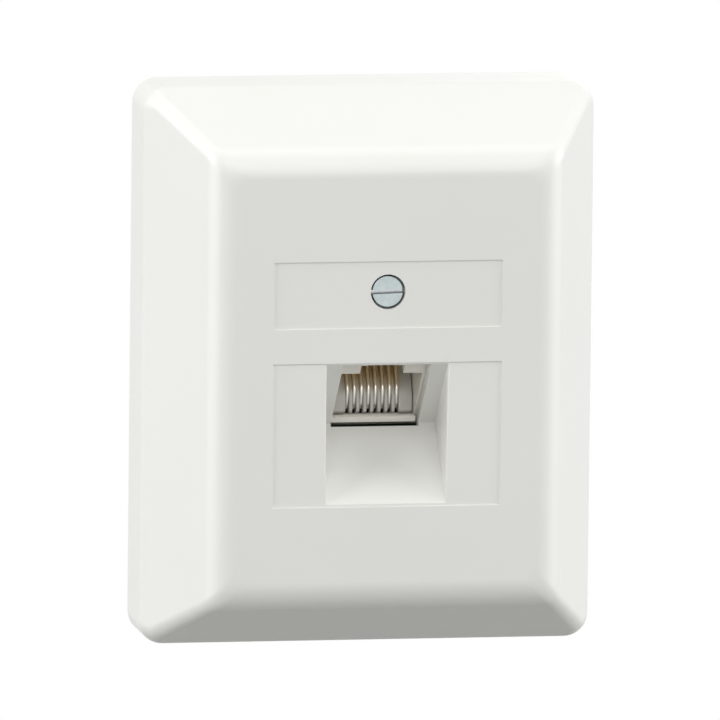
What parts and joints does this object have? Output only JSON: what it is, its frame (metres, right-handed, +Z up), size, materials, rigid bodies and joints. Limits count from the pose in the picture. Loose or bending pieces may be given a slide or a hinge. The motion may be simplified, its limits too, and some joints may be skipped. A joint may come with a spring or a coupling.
{
  "type": "surface mount data outlet box",
  "caption": "White wall box for one data plug: a bevelled cover held by a slotted screw over a tilted modular socket on a small circuit board.",
  "frame": {"origin": "centre of the flat back face that meets the wall", "axes": "+Z up along the height, +X to the right seen from the front, +Y into the wall; the front faces -Y"},
  "size_m": [0.065, 0.027, 0.08],
  "materials": {
    "white_plastic": "glossy moulded white plastic",
    "grey_plastic": "satin light grey moulding",
    "zinc_steel": "bright zinc plate",
    "soft_plastic": "natural soft plastic",
    "brass": "turned",
    "contact_metal": "gold over nickel on bronze wire",
    "blade_metal": "tin plate",
    "board": "solder mask over glass laminate",
    "terminal_plastic": "off-white moulding"
  },
  "bodies": {
    "base": {"base_plate": "white_plastic", "circuit_board": "board", "board_screws": "zinc_steel", "socket_housing": "grey_plastic", "contact_comb": "grey_plastic", "threaded_bush": "brass", "contact_1": "contact_metal", "contact_2": "contact_metal", "contact_3": "contact_metal", "contact_4": "contact_metal", "contact_5": "contact_metal", "contact_6": "contact_metal", "contact_7": "contact_metal", "contact_8": "contact_metal", "terminal_block_left": "terminal_plastic", "terminal_block_right": "terminal_plastic", "blade_left_1": "blade_metal", "blade_left_2": "blade_metal", "blade_left_3": "blade_metal", "blade_left_4": "blade_metal", "blade_right_1": "blade_metal", "blade_right_2": "blade_metal", "blade_right_3": "blade_metal", "blade_right_4": "blade_metal"},
    "cover": {"cover": "white_plastic"},
    "screw": {"cover_screw": "zinc_steel", "screw_washer": "soft_plastic"}
  },
  "joints": [
    {"name": "cover_pull_off", "type": "slide", "parent": "base", "child": "cover", "axis": [0, -1, 0], "range_m": [0, 0.035]},
    {"name": "cover_screw_turn", "type": "hinge", "parent": "cover", "child": "screw", "pos_m": [0, -0.025, 0.0126], "axis": [0, -1, 0], "range_deg": [0, 2850]}
  ]
}
